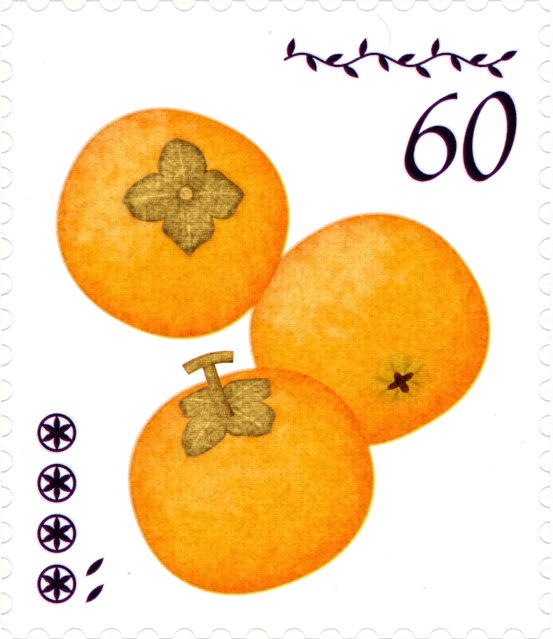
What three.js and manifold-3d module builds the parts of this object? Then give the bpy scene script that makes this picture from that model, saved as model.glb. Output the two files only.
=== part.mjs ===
// A postage stamp that lies face up: a sheet of coated paper with a punched edge, the film of gum on its back,
// and the films of ink on its face. Each printed motif is a film of its own. They all lie on the paper itself,
// because a motif is left out of the one behind it, as a printing plate leaves it out.
// The picture is a plain one of three persimmons. The ornaments are common ones: a leafy garland, a column of
// four rosettes and two small leaves. The value is two plain numerals.
//
// Millimetres. +Z is up, out of the printed face. +Y is the top of the picture and +X its right side.
// The origin is under the middle of the stamp, on the surface that it lies on.
import * as THREE from "three";
import { mergeVertices } from "three/addons/utils/BufferGeometryUtils.js";
import Module from "manifold-3d";

// Layers, from the surface that the stamp lies on upwards
const GUM = 0.015;
const PAPER = 0.1;
const INK = 0.005;

// Punched edge: a hole on each corner, and the others evenly between them
const HOLE_RADIUS = 0.49;
const PITCH_ACROSS = 1.546;
const PITCH_DOWN = 1.5;
const PITCHES_ACROSS = 15;
const PITCHES_DOWN = 18;
const END_TEETH_SHORT = 0.05; // how far the teeth at the top and bottom stop short of the line of holes
const WIDTH = PITCHES_ACROSS * PITCH_ACROSS; // between the lines of holes
const HEIGHT = PITCHES_DOWN * PITCH_DOWN;

// Smoothness
const HOLE_STEPS = 5; // half the straight steps round each hole's arc
const FRUIT_STEPS = 120;
const CALYX_STEPS = 96;
const SPOT_STEPS = 28;
const STROKE_STEPS = 28;
const RING_STEPS = 56;
const LEAF_STEPS = 5; // along each side of a leaf

const WHITE_PAPER = new THREE.MeshStandardMaterial({ color: 0xf8f8f5, roughness: 0.75 });
const CLEAR_GUM = new THREE.MeshStandardMaterial({ color: 0xefece0, roughness: 0.35 });
const ORANGE_INK = new THREE.MeshStandardMaterial({ color: 0xffa21a, roughness: 0.5 });
const OLIVE_INK = new THREE.MeshStandardMaterial({ color: 0x9a7a34, roughness: 0.55 });
const BROWN_INK = new THREE.MeshStandardMaterial({ color: 0x6b4a22, roughness: 0.55 });
const PURPLE_INK = new THREE.MeshStandardMaterial({ color: 0x2c0838, roughness: 0.45 });

const wasm = await Module();
wasm.setup();

// ---------------------------------------------------------------- solids

function solidOf(geometry) {
  const bare = geometry.clone();
  bare.deleteAttribute("normal");
  bare.deleteAttribute("uv");
  const merged = mergeVertices(bare);
  return new wasm.Manifold(
    new wasm.Mesh({
      numProp: 3,
      vertProperties: merged.attributes.position.array,
      triVerts: new Uint32Array(merged.index.array),
    }),
  );
}

function geometryOf(solid) {
  const { vertProperties, triVerts } = solid.getMesh();
  const geometry = new THREE.BufferGeometry();
  geometry.setAttribute("position", new THREE.BufferAttribute(vertProperties, 3));
  geometry.setIndex(new THREE.BufferAttribute(triVerts, 1));
  const faceted = geometry.toNonIndexed();
  faceted.computeVertexNormals();
  return faceted;
}

function layer(shape, thickness, curveSegments) {
  return new THREE.ExtrudeGeometry(shape, { depth: thickness, bevelEnabled: false, curveSegments });
}

function film(shape) {
  return solidOf(layer(shape, INK, LEAF_STEPS));
}

function joined(solids) {
  return solids.reduce((all, solid) => all.add(solid));
}

function numbered(count, make) {
  return Array.from({ length: count }, (_, n) => make(n));
}

// ---------------------------------------------------------------- punched edge

// The four sides anticlockwise from the bottom left corner: where each starts, which way it runs, its holes,
// and how far its teeth stop short of the line of holes
const SIDES = [
  { x: -WIDTH / 2, y: -HEIGHT / 2, turn: 0, pitch: PITCH_ACROSS, pitches: PITCHES_ACROSS, short: END_TEETH_SHORT },
  { x: WIDTH / 2, y: -HEIGHT / 2, turn: 0.5 * Math.PI, pitch: PITCH_DOWN, pitches: PITCHES_DOWN, short: 0 },
  { x: WIDTH / 2, y: HEIGHT / 2, turn: Math.PI, pitch: PITCH_ACROSS, pitches: PITCHES_ACROSS, short: END_TEETH_SHORT },
  { x: -WIDTH / 2, y: HEIGHT / 2, turn: 1.5 * Math.PI, pitch: PITCH_DOWN, pitches: PITCHES_DOWN, short: 0 },
];

function perforatedOutline() {
  const outline = new THREE.Shape();
  const bite = (side) => Math.asin(side.short / HOLE_RADIUS);
  SIDES.forEach((side, n) => {
    const before = SIDES.at(n - 1);
    const cornerStart = side.turn + Math.PI / 2 - bite(before);
    outline.absarc(side.x, side.y, HOLE_RADIUS, cornerStart, side.turn + bite(side), true);
    for (let hole = 1; hole < side.pitches; hole++) {
      const x = side.x + Math.cos(side.turn) * hole * side.pitch;
      const y = side.y + Math.sin(side.turn) * hole * side.pitch;
      outline.absarc(x, y, HOLE_RADIUS, side.turn + Math.PI - bite(side), side.turn + bite(side), true);
    }
  });
  return outline;
}

// ---------------------------------------------------------------- outlines that the motifs share

// A closed outline round a middle. place() says where the point at a radius and an angle goes on the sheet.
function roundOutline(radiusAt, place, steps) {
  return new THREE.Shape(
    numbered(steps, (n) => {
      const angle = (2 * Math.PI * n) / steps;
      return place(radiusAt(angle), angle);
    }),
  );
}

// A leaf blade, pointed at both ends, from its foot at (x, y)
function leafOutline(x, y, length, width, angle) {
  const at = (along, across) => new THREE.Vector2(x + along, y + across).rotateAround({ x, y }, angle);
  const tip = at(length, 0);
  const rightBulge = at(length * 0.45, -width);
  const leftBulge = at(length * 0.45, width);
  const outline = new THREE.Shape();
  outline.moveTo(x, y);
  outline.quadraticCurveTo(rightBulge.x, rightBulge.y, tip.x, tip.y);
  outline.quadraticCurveTo(leftBulge.x, leftBulge.y, x, y);
  return outline;
}

// Both edges of a broad pen's stroke along a curve. It is thin where the curve runs along the pen's edge, whose
// angle is edge, and thick where the curve runs across it.
function strokeEdges(curve, { thin, thick, edge = 0 }, steps) {
  const left = [];
  const right = [];
  for (let n = 0; n <= steps; n++) {
    const middle = curve.getPoint(n / steps);
    const along = curve.getTangent(n / steps);
    const turn = along.angle() - edge;
    const half = 0.5 * Math.hypot(thin * Math.cos(turn), thick * Math.sin(turn));
    const side = new THREE.Vector2(-along.y, along.x).multiplyScalar(half);
    left.push(middle.clone().add(side));
    right.push(middle.clone().sub(side));
  }
  return { left, right };
}

function stroke(curve, pen, steps = STROKE_STEPS) {
  const { left, right } = strokeEdges(curve, pen, steps);
  return film(new THREE.Shape([...right, ...left.reverse()]));
}

function ringStroke(curve, pen, steps = RING_STEPS) {
  const { left, right } = strokeEdges(curve, pen, steps);
  const outline = new THREE.Shape(right.slice(0, -1));
  outline.holes.push(new THREE.Path(left.slice(0, -1)));
  return film(outline);
}

function evenPen(width) {
  return { thin: width, thick: width };
}

function bent(from, over, to) {
  return new THREE.QuadraticBezierCurve(from, over, to);
}

// ---------------------------------------------------------------- picture: three persimmons

// A persimmon is a ball that is flattened along its core and a little square. lean is the sine of the angle
// between its core and the line of sight, so a fruit with no lean is seen end on, and facing is the way on the
// sheet in which the end that shows leans.
const HALF_WIDTH = 5.0; // across the core, on a fruit of size 1
const HALF_HEIGHT = 4.1; // along the core
const SQUARENESS = 2.22; // 2 is an ellipse
const HOLLOW = 0.045; // how far the outline dips where the calyx sits, on a fruit seen from the side
const HOLLOW_SPREAD = 0.3;
const FRUITS = {
  right: { x: 3.95, y: -0.45, size: 1.01, lean: 0.62, facing: -1.02 },
  left: { x: -4.35, y: 4.1, size: 0.97, lean: 0.34, facing: 1.15 },
  front: { x: -1.05, y: -6.8, size: 1.04, lean: 0.78, facing: 1.92 },
};

const CALYX_RADIUS = 2.75;
const CALYX_WAIST = 0.46; // the notches between the sepals, as a share of that radius
const STEM_RADIUS = 0.4;
const TIP_RADIUS = 0.46;
const TWIG = { width: 0.54, length: 2.05, barWidth: 0.5, barReach: 1.1, barBow: 0.22 };

function onSheet(fruit, along, across) {
  return new THREE.Vector2(fruit.x + along, fruit.y + across).rotateAround(fruit, fruit.facing);
}

// Where a spot on the skin shows, from its distance from the end that shows and its way round the core
function onSkin(fruit, distance, around) {
  const girth = HALF_WIDTH * fruit.size;
  const fromCore = girth * Math.sin(distance / girth);
  const height = HALF_HEIGHT * fruit.size * Math.cos(distance / girth);
  const seenAlong = height * fruit.lean + fromCore * Math.cos(around) * Math.sqrt(1 - fruit.lean ** 2);
  return onSheet(fruit, seenAlong, fromCore * Math.sin(around));
}

function fruitOutline(fruit) {
  const reach = Math.hypot(HALF_WIDTH * Math.sqrt(1 - fruit.lean ** 2), HALF_HEIGHT * fruit.lean);
  const radiusAt = (angle) => {
    const along = Math.abs(Math.cos(angle) / reach) ** SQUARENESS;
    const across = Math.abs(Math.sin(angle) / HALF_WIDTH) ** SQUARENESS;
    const fromFacing = Math.atan2(Math.sin(angle), Math.cos(angle));
    const hollow = HOLLOW * fruit.lean ** 4 * Math.exp(-((fromFacing / HOLLOW_SPREAD) ** 2));
    const uneven = 0.007 * Math.cos(3 * angle + fruit.x) + 0.006 * Math.cos(2 * angle + fruit.y);
    return fruit.size * (along + across) ** (-1 / SQUARENESS) * (1 - hollow + uneven);
  };
  const place = (radius, angle) => onSheet(fruit, radius * Math.cos(angle), radius * Math.sin(angle));
  return roundOutline(radiusAt, place, FRUIT_STEPS);
}

// Four broad sepals with a blunt point each, laid on the skin round the stem
function calyxOutline(fruit, turn) {
  const radiusAt = (angle) => {
    const blade = Math.abs(Math.cos(2 * (angle - turn))) ** 0.5;
    const point = (1 - Math.abs(Math.sin(2 * (angle - turn)))) ** 2;
    const uneven = 1 + 0.05 * Math.sin(3 * angle + turn) + 0.025 * Math.sin(11 * angle);
    return CALYX_RADIUS * (CALYX_WAIST + (1 - CALYX_WAIST) * (0.72 * blade + 0.28 * point)) * uneven;
  };
  return roundOutline(radiusAt, (radius, angle) => onSkin(fruit, radius, angle), CALYX_STEPS);
}

function stemOutline(fruit) {
  const radiusAt = (angle) => STEM_RADIUS * (1 + 0.09 * Math.cos(3 * angle));
  return roundOutline(radiusAt, (radius, angle) => onSkin(fruit, radius, angle), SPOT_STEPS);
}

// The dry tip at the other end, a star with four short arms
function tipOutline(fruit) {
  const radiusAt = (angle) => TIP_RADIUS * (1 + 0.42 * Math.cos(4 * angle) + 0.14 * Math.cos(3 * angle));
  return roundOutline(radiusAt, (radius, angle) => onSkin(fruit, radius, angle), SPOT_STEPS);
}

// The stalk and the piece of branch that is left on it when the fruit is cut from the tree
function twig(fruit) {
  const { width, length, barWidth, barReach, barBow } = TWIG;
  const foot = HALF_HEIGHT * fruit.size * fruit.lean - width;
  const at = (along, across) => onSheet(fruit, foot + along, across);
  const stalk = bent(at(0, -0.05), at(length / 2, 0.12), at(width + length, 0));
  const bar = bent(
    at(width + length - barBow, -barReach),
    at(width + length + barBow, -0.1),
    at(width + length - barBow * 0.2, barReach * 0.92),
  );
  return joined([stroke(stalk, evenPen(width), 6), stroke(bar, evenPen(barWidth), 10)]);
}

// ---------------------------------------------------------------- value: two plain numerals

const NUMERAL_HEIGHT = 3.64;
const NUMERAL_HALF_WIDTH = 0.88;
const NUMERAL_SLANT = 0.17; // how far to the right a point leans for each millimetre that it is up
const NUMERAL_FOOT = 5.93;
const SIX_MIDDLE = 6.36;
const ZERO_MIDDLE = 8.74;
const PEN = { thin: 0.15, thick: 0.5, edge: 0.62 };

class LeaningCurve extends THREE.Curve {
  constructor(upright, x) {
    super();
    this.upright = upright;
    this.x = x;
  }
  getPoint(t) {
    const { x, y } = this.upright.getPoint(t);
    return new THREE.Vector2(this.x + x + y * NUMERAL_SLANT, NUMERAL_FOOT + y);
  }
}

function ellipse(x, y, radiusX, radiusY) {
  return new THREE.EllipseCurve(x, y, radiusX, radiusY, 0, 2 * Math.PI);
}

function numeralSix() {
  const bowl = ellipse(0, NUMERAL_HEIGHT * 0.3, NUMERAL_HALF_WIDTH, NUMERAL_HEIGHT * 0.28);
  const back = new THREE.CubicBezierCurve(
    new THREE.Vector2(0.72, NUMERAL_HEIGHT * 0.97),
    new THREE.Vector2(-0.3, NUMERAL_HEIGHT * 0.96),
    new THREE.Vector2(-0.9, NUMERAL_HEIGHT * 0.66),
    new THREE.Vector2(-NUMERAL_HALF_WIDTH, NUMERAL_HEIGHT * 0.28),
  );
  return joined([ringStroke(new LeaningCurve(bowl, SIX_MIDDLE), PEN), stroke(new LeaningCurve(back, SIX_MIDDLE), PEN)]);
}

function numeralZero() {
  const ring = ellipse(0, NUMERAL_HEIGHT / 2, NUMERAL_HALF_WIDTH, NUMERAL_HEIGHT / 2 - PEN.thin / 2);
  return ringStroke(new LeaningCurve(ring, ZERO_MIDDLE), PEN);
}

// ---------------------------------------------------------------- ornaments

// A stem that winds along, with leaves on its left and right in turn and one at its end
const GARLAND = { x: 0.35, y: 10.98, length: 9.15, waves: 3, rise: 0.26, stem: 0.12, leaf: 0.88, leafWidth: 0.34 };
const LEAVES_A_WAVE = 4;
const LEAF_SPREAD = 0.85;

class GarlandCurve extends THREE.Curve {
  getPoint(t) {
    const { x, y, length, waves, rise } = GARLAND;
    return new THREE.Vector2(x + t * length, y + rise * Math.sin(2 * Math.PI * waves * t));
  }
}

function garland() {
  const curve = new GarlandCurve();
  const leaves = GARLAND.waves * LEAVES_A_WAVE;
  const leafAt = (t, side) => {
    const foot = curve.getPoint(t);
    const angle = curve.getTangent(t).angle() + side;
    return film(leafOutline(foot.x, foot.y, GARLAND.leaf, GARLAND.leafWidth, angle));
  };
  return joined([
    stroke(curve, evenPen(GARLAND.stem), GARLAND.waves * 14),
    ...numbered(leaves, (n) => leafAt((n + 0.25) / leaves, n % 2 ? -LEAF_SPREAD : LEAF_SPREAD)),
    leafAt(0.995, 0),
  ]);
}

const ROSETTE = { x: -9.25, top: -4.78, pitch: 2.13, radius: 0.83, band: 0.15, petalWidth: 0.3, heart: 0.14 };
const ROSETTES = 4;
const PETALS = 6;

function rosette(n) {
  const { x, top, pitch, radius, band, petalWidth, heart } = ROSETTE;
  const y = top - n * pitch;
  const petal = (p) => film(leafOutline(x, y, radius - band / 2, petalWidth, (2 * Math.PI * (p + 0.5)) / PETALS));
  return joined([
    ringStroke(ellipse(x, y, radius - band / 2, radius - band / 2), evenPen(band), 40),
    ringStroke(ellipse(x, y, heart, heart), evenPen(heart), 16),
    ...numbered(PETALS, petal),
  ]);
}

const SMALL_LEAF = { x: -8.03, top: -10.85, pitch: 1.12, length: 1.12, width: 0.36, lean: 0.8 };
const SMALL_LEAVES = 2;

function smallLeaf(n) {
  const { x, top, pitch, length, width, lean } = SMALL_LEAF;
  return film(leafOutline(x, top - n * pitch, length, width, lean));
}

// ---------------------------------------------------------------- assembly

const stamp = new THREE.Group();
stamp.name = "postage_stamp";

function place(name, geometry, material, height) {
  const mesh = new THREE.Mesh(geometry, material);
  mesh.name = name;
  mesh.position.z = height;
  stamp.add(mesh);
}

place("gum_film", layer(perforatedOutline(), GUM, HOLE_STEPS), CLEAR_GUM, 0);
place("paper_sheet", layer(perforatedOutline(), PAPER, HOLE_STEPS), WHITE_PAPER, GUM);

// The picture from the back to the front. Each motif is cut away where a nearer one covers it.
const { left, right, front } = FRUITS;
const picture = [
  { name: "right_fruit_ink", solid: film(fruitOutline(right)), material: ORANGE_INK },
  { name: "right_tip_ink", solid: film(tipOutline(right)), material: BROWN_INK },
  { name: "left_fruit_ink", solid: film(fruitOutline(left)), material: ORANGE_INK },
  { name: "left_calyx_ink", solid: film(calyxOutline(left, 0.5)), material: OLIVE_INK },
  { name: "left_stem_ink", solid: film(stemOutline(left)), material: BROWN_INK },
  { name: "front_fruit_ink", solid: film(fruitOutline(front)), material: ORANGE_INK },
  { name: "front_calyx_ink", solid: film(calyxOutline(front, 0.62)), material: OLIVE_INK },
  { name: "front_twig_ink", solid: twig(front), material: BROWN_INK },
];
picture.forEach(({ name, solid, material }, n) => {
  const nearer = picture.slice(n + 1).map((motif) => motif.solid);
  place(name, geometryOf(nearer.reduce((shown, motif) => shown.subtract(motif), solid)), material, GUM + PAPER);
});

const lettering = {
  numeral_six_ink: numeralSix(),
  numeral_zero_ink: numeralZero(),
  garland_ink: garland(),
};
numbered(ROSETTES, (n) => (lettering[`rosette_${n + 1}_ink`] = rosette(n)));
numbered(SMALL_LEAVES, (n) => (lettering[`small_leaf_${n + 1}_ink`] = smallLeaf(n)));
for (const [name, solid] of Object.entries(lettering)) {
  place(name, geometryOf(solid), PURPLE_INK, GUM + PAPER);
}

export default stamp;
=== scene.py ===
# %% [markdown]
# # A postage stamp
#
# A stamp is a small sheet of coated paper with dried gum on its back and ink on its face. It is torn from a
# larger sheet along rows of punched holes, so its sides are half-holes with short torn teeth between.
#
# This lesson builds one lying face up, round a model that holds the real size of each piece, in metres. It
# adds what makes them look real: punched holes, torn fibres, and a print worked out from printing plates.

# %% Load the model
import math

import bmesh
import bpy
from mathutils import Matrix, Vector


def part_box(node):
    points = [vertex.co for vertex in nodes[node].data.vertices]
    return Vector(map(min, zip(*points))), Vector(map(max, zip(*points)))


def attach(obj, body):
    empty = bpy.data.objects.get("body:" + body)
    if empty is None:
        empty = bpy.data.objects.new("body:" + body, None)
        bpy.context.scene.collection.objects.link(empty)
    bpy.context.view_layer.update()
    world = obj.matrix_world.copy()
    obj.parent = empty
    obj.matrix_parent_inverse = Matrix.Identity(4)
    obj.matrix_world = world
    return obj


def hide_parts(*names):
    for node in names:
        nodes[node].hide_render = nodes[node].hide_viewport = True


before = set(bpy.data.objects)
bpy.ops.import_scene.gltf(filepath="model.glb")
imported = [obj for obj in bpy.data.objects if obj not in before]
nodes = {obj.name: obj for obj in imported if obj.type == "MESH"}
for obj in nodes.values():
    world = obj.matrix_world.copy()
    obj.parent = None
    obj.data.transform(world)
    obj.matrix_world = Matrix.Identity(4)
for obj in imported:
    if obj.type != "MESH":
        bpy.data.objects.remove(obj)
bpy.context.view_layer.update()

MM = 0.001  # one millimetre, in Blender's metres
print("pieces in the model:", len(nodes))

# %% [markdown]
# ## The camera
#
# A stamp is looked at straight down. A long lens far away keeps the sides of the holes out of sight, and it
# can still be moved round to the other sides. The view reaches from the line of holes at the top to the one
# at the bottom.

# %% Camera
LENS = 200.0  # mm
SENSOR = 36.0  # mm, along the picture's long side
VIEW_HEIGHT = 27.03  # mm of the stamp that the picture takes in
VIEW_MIDDLE = (0.035, 0.008)  # mm
CLIP = (0.01, 5.0)  # metres from the camera between which it sees


def make_camera():
    camera = bpy.data.objects.new("camera", bpy.data.cameras.new("camera"))
    camera.data.lens = LENS
    camera.data.sensor_width = SENSOR
    distance = VIEW_HEIGHT * LENS / SENSOR
    camera.location = Vector((*VIEW_MIDDLE, distance)) * MM
    camera.data.clip_start, camera.data.clip_end = CLIP
    bpy.context.scene.collection.objects.link(camera)
    bpy.context.scene.camera = camera
    return distance


print("camera height in mm:", make_camera())

# %% [markdown]
# ## Writing nodes as sums
#
# Both the shapes and the finishes below are made of nodes. Placing hundreds of nodes by hand hides what they
# work out, so a small class wraps a socket and lets Python's own signs add the nodes: `1 - a * b` adds two
# Math nodes and gives the socket that holds the result.


# %% Fields
class Field:
    """A value that varies from place to place: one socket of a node tree."""

    def __init__(self, plan, socket):
        self.plan, self.socket = plan, socket

    def out(self, name):
        return Field(self.plan, self.socket.node.outputs[name])

    def __add__(self, other):
        return self.plan.maths("ADD", self, other)

    def __sub__(self, other):
        return self.plan.maths("SUBTRACT", self, other)

    def __rsub__(self, other):
        return self.plan.maths("SUBTRACT", other, self)

    def __mul__(self, other):
        return self.plan.maths("MULTIPLY", self, other)

    def __truediv__(self, other):
        return self.plan.maths("DIVIDE", self, other)

    def __pow__(self, other):
        return self.plan.maths("POWER", self, other)

    def __neg__(self):
        return self * -1.0

    def __abs__(self):
        return self.plan.maths("ABSOLUTE", self)

    __radd__, __rmul__ = __add__, __mul__


# %% Plans
class Plan:
    """A node tree that is being drawn up, for a material or for Geometry Nodes."""

    def __init__(self, tree):
        self.tree = tree

    def node(self, kind, settings=None, sockets=None, output=0):
        made = self.tree.nodes.new(kind)
        for name, value in (settings or {}).items():
            setattr(made, name, value)
        for name, value in (sockets or {}).items():
            self.feed(made.inputs[name], value)
        return Field(self, made.outputs[output])

    def feed(self, socket, value):
        if isinstance(value, Field):
            self.tree.links.new(value.socket, socket)
        elif isinstance(value, list):
            for one in value:
                self.feed(socket, one)
        else:
            socket.default_value = (*value, 1.0) if socket.type == "RGBA" else value

    def maths(self, operation, *values):
        return self.node("ShaderNodeMath", {"operation": operation}, dict(enumerate(values)))

    def least(self, a, b):
        return self.maths("MINIMUM", a, b)

    def most(self, a, b):
        return self.maths("MAXIMUM", a, b)

    def sin(self, angle):
        return self.maths("SINE", angle)

    def cos(self, angle):
        return self.maths("COSINE", angle)

    def root(self, value):
        return self.maths("SQRT", self.most(value, 0.0))

    def hill(self, distance, width):
        """1 where distance is 0, and falling away on both sides of it."""
        return self.maths("EXPONENT", (distance / width) ** 2 * -1.0)

    def ramp(self, value, low, high):
        """0 up to low, 1 from high, and smooth between."""
        sockets = {"Value": value, "From Min": low, "From Max": high}
        return self.node("ShaderNodeMapRange", {"interpolation_type": "SMOOTHSTEP"}, sockets)

    def vector(self, x=0.0, y=0.0, z=0.0):
        return self.node("ShaderNodeCombineXYZ", None, {"X": x, "Y": y, "Z": z})

    def part(self, vector, axis):
        return self.node("ShaderNodeSeparateXYZ", None, {"Vector": vector}, axis)

    def vectors(self, operation, *values):
        return self.node("ShaderNodeVectorMath", {"operation": operation}, dict(enumerate(values)))

    def scaled(self, vector, by):
        return self.node("ShaderNodeVectorMath", {"operation": "SCALE"}, {0: vector, "Scale": by})

    def noise(self, vector, scale, detail=2.0, roughness=0.5):
        """Smooth noise from about -1 to 1, with this many waves to a unit of length."""
        sockets = {"Vector": vector, "Scale": scale, "Detail": detail, "Roughness": roughness}
        return self.node("ShaderNodeTexNoise", None, sockets) * 2.0 - 1.0


# %% [markdown]
# ## Growing a mesh
#
# What repeats on the stamp, its holes, fibres and printed edges, is made with Geometry Nodes. A tree is drawn
# up with named inputs, put on an object as a modifier and evaluated once, and its result is kept as a plain
# mesh. Inside the trees lengths are in millimetres, because merging points and cutting holes is steadier on
# numbers of ordinary size. The last step scales the result to metres.

# %% Tools for growing
KINDS = {float: "NodeSocketFloat", tuple: "NodeSocketVector", str: "NodeSocketMaterial"}
UPRIGHT = 0.5  # a face is a wall if its normal points up or down by less than this
SAME_POINT = 1e-4  # mm within which two points are one


class GrowingPlan(Plan):
    """A Geometry Nodes tree. Its named inputs are the fields in given."""

    def __init__(self, name, **inputs):
        super().__init__(bpy.data.node_groups.new(name, "GeometryNodeTree"))
        for label, kind in {"mesh": None, **inputs}.items():
            socket = KINDS.get(kind, "NodeSocketGeometry")
            self.tree.interface.new_socket(label, in_out="INPUT", socket_type=socket)
        self.tree.interface.new_socket("mesh", in_out="OUTPUT", socket_type="NodeSocketGeometry")
        source = self.tree.nodes.new("NodeGroupInput")
        self.given = {socket.name: Field(self, socket) for socket in source.outputs if socket.name}

    def geometry(self, kind, settings=None, **sockets):
        """A node whose sockets are named in small letters, with _ for a space."""
        names = {label.replace("_", " ").title(): value for label, value in sockets.items()}
        return self.node("GeometryNode" + kind, settings, names)

    def join(self, *shapes):
        return self.geometry("JoinGeometry", geometry=list(shapes))

    def moved(self, shape, **how):
        return self.geometry("Transform", geometry=shape, **how)

    def position(self):
        return self.node("GeometryNodeInputPosition")

    def upward(self):
        return self.part(self.node("GeometryNodeInputNormal"), "Z")

    def walls(self):
        return self.maths("LESS_THAN", abs(self.upward()), UPRIGHT)

    def random(self, low, high, seed):
        sockets = {2: low, 3: high, "Seed": seed}
        return self.node("FunctionNodeRandomValue", {"data_type": "FLOAT"}, sockets, 1)

    def solid(self, operation, meshes):
        return self.node("GeometryNodeMeshBoolean", {"operation": operation, "solver": "MANIFOLD"}, meshes)

    def slab(self, face, low, thickness):
        """A closed layer with this flat face as its underside."""
        grown = self.geometry("ExtrudeMesh", mesh=face, offset_scale=thickness, individual=False)
        under = self.geometry("FlipFaces", mesh=face)
        whole = self.geometry("MergeByDistance", geometry=self.join(grown, under), distance=SAME_POINT)
        return self.moved(whole, translation=self.vector(z=low))

    def finish(self, shape, wall=None):
        """Puts the materials on, scales the shape to metres and sends it out of the tree."""
        made = self.moved(self.geometry("RealizeInstances", geometry=shape), scale=(MM, MM, MM))
        made = self.geometry("SetMaterial", geometry=made, material=self.given["face"])
        if wall:
            made = self.geometry("SetMaterial", geometry=made, selection=self.walls(), material=wall)
        out = self.tree.nodes.new("NodeGroupOutput")
        self.tree.links.new(made.socket, out.inputs[0])


# %% Grow a piece
def grow(name, plan, inputs, mesh=None):
    """An object with the plain mesh that a tree makes from these inputs, and maybe from another mesh."""
    piece = bpy.data.objects.new(name, mesh or bpy.data.meshes.new(name))
    bpy.context.scene.collection.objects.link(piece)
    modifier = piece.modifiers.new("grow", "NODES")
    modifier.node_group = plan.tree
    for item in plan.tree.interface.items_tree:
        if item.in_out == "INPUT" and item.name in inputs:
            modifier[item.identifier] = inputs[item.name]
    seen = piece.evaluated_get(bpy.context.evaluated_depsgraph_get())
    grown = bpy.data.meshes.new_from_object(seen)
    piece.modifiers.clear()
    piece.data = grown
    print(name, len(grown.polygons), "faces")
    return piece


# %% [markdown]
# ## A flat map for each layer
#
# A finish that is baked into an image needs a map from the mesh to that image. Blender can unfold any mesh by
# itself, but paper and ink are as good as flat, so the best map is their plan seen from above, with the thin
# walls folded outwards round it. Its outline then fills the whole image.


# %% Lay the map out
def unfold(piece):
    mesh = piece.data
    low = [min(v.co[axis] for v in mesh.vertices) for axis in range(3)]
    high = [max(v.co[axis] for v in mesh.vertices) for axis in range(3)]
    fold = high[2] - low[2]
    layer = mesh.uv_layers.new(name="OFBake")
    for face in mesh.polygons:
        wall = abs(face.normal.z) < UPRIGHT
        for corner in face.loop_indices:
            spot = mesh.vertices[mesh.loops[corner].vertex_index].co
            flat = spot + face.normal * (high[2] - spot.z) if wall else spot
            layer.data[corner].uv = [
                (flat[axis] - low[axis] + fold) / (high[axis] - low[axis] + 2 * fold) for axis in range(2)
            ]


# %% [markdown]
# ## Materials as plans
#
# Each finish below is a plan too. It knows the place on the stamp in millimetres, so that every size in it is
# the real one. What is the same all over is set on the shader's own sockets.


# %% Finishes
class Finish(Plan):
    """A material, with the place on the stamp as spot, x and y in millimetres."""

    def __init__(self, name, **constants):
        self.material = bpy.data.materials.new(name)
        self.material.use_nodes = True
        super().__init__(self.material.node_tree)
        self.shader = self.tree.nodes["Principled BSDF"]
        for label, value in constants.items():
            self.shader.inputs[label.replace("_", " ")].default_value = value
        self.spot = self.scaled(self.node("ShaderNodeTexCoord", output="Object"), 1 / MM)
        self.x, self.y = self.part(self.spot, "X"), self.part(self.spot, "Y")

    def mix(self, factor, a, b, blend="MIX"):
        settings = {"data_type": "RGBA", "blend_type": blend, "clamp_factor": True}
        return self.node("ShaderNodeMix", settings, {0: factor, 6: a, 7: b}, 2)

    def held(self, value, low=0.0, high=1.0):
        return self.least(self.most(value, low), high)

    def moved_spot(self, x, y):
        return self.vectors("ADD", self.spot, (x, y, 0.0))

    def coat(self, colour, roughness=None, relief=None):
        """Joins the fields to the shader. relief is a height in millimetres."""
        self.feed(self.shader.inputs["Base Color"], colour)
        if roughness is not None:
            self.feed(self.shader.inputs["Roughness"], roughness)
        if relief is not None:
            bump = self.node("ShaderNodeBump", None, {"Height": relief, "Strength": 1.0, "Distance": MM})
            self.feed(self.shader.inputs["Normal"], bump)
        return self.material


# %% [markdown]
# ## White coated paper
#
# Stamp paper is wood fibre under a smooth white coating, so it is very white, with only a trace of the
# fibres. Noise makes a few faint specks of dust in it, and a dark one and a stray hair have places of their
# own. Where the sheet is torn its bare fibre shows. It is a little duller than the coating, and it is painted
# darker still, as painted shade on the walls of the holes that also deepens the shadows beside them.

# %% Paper and gum
WHITE = (0.97, 0.97, 0.965)
FELT_WHITE = (0.94, 0.94, 0.925)
DUST_GREY, STRAY_GREY = (0.5, 0.5, 0.5), (0.6, 0.6, 0.6)
DUST_A_MM, DUST_FROM, DUST_FULL = 2.6, 0.52, 0.66  # how close specks lie, and which noise makes them
SPECK = {"x": -6.2, "y": -10.72, "wide": 0.12, "high": 0.07}  # the one dark speck, in mm
LAYERS_A_MM = (9, 9, 45)  # of torn paper, across, along and up
STRAY = {"x": 3.55, "y": 11.85, "radius": 1.28, "width": 0.035, "low": 11.5, "high": 12.98}  # mm


def stray_hair(sheet):
    """1 on the line of a bent hair in the coating."""
    across, up = sheet.x - STRAY["x"], sheet.y - STRAY["y"]
    off_bend = sheet.root(across**2 + up**2) - STRAY["radius"] + sheet.noise(sheet.spot, 1.6, 1.0) * 0.12
    low_end = sheet.ramp(sheet.y, STRAY["low"], STRAY["low"] + 0.3) * sheet.ramp(across, 0.0, 0.2)
    high_end = 1.0 - sheet.ramp(sheet.y, STRAY["high"] - 0.1, STRAY["high"])
    return sheet.hill(off_bend, STRAY["width"]) * low_end * high_end


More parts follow.
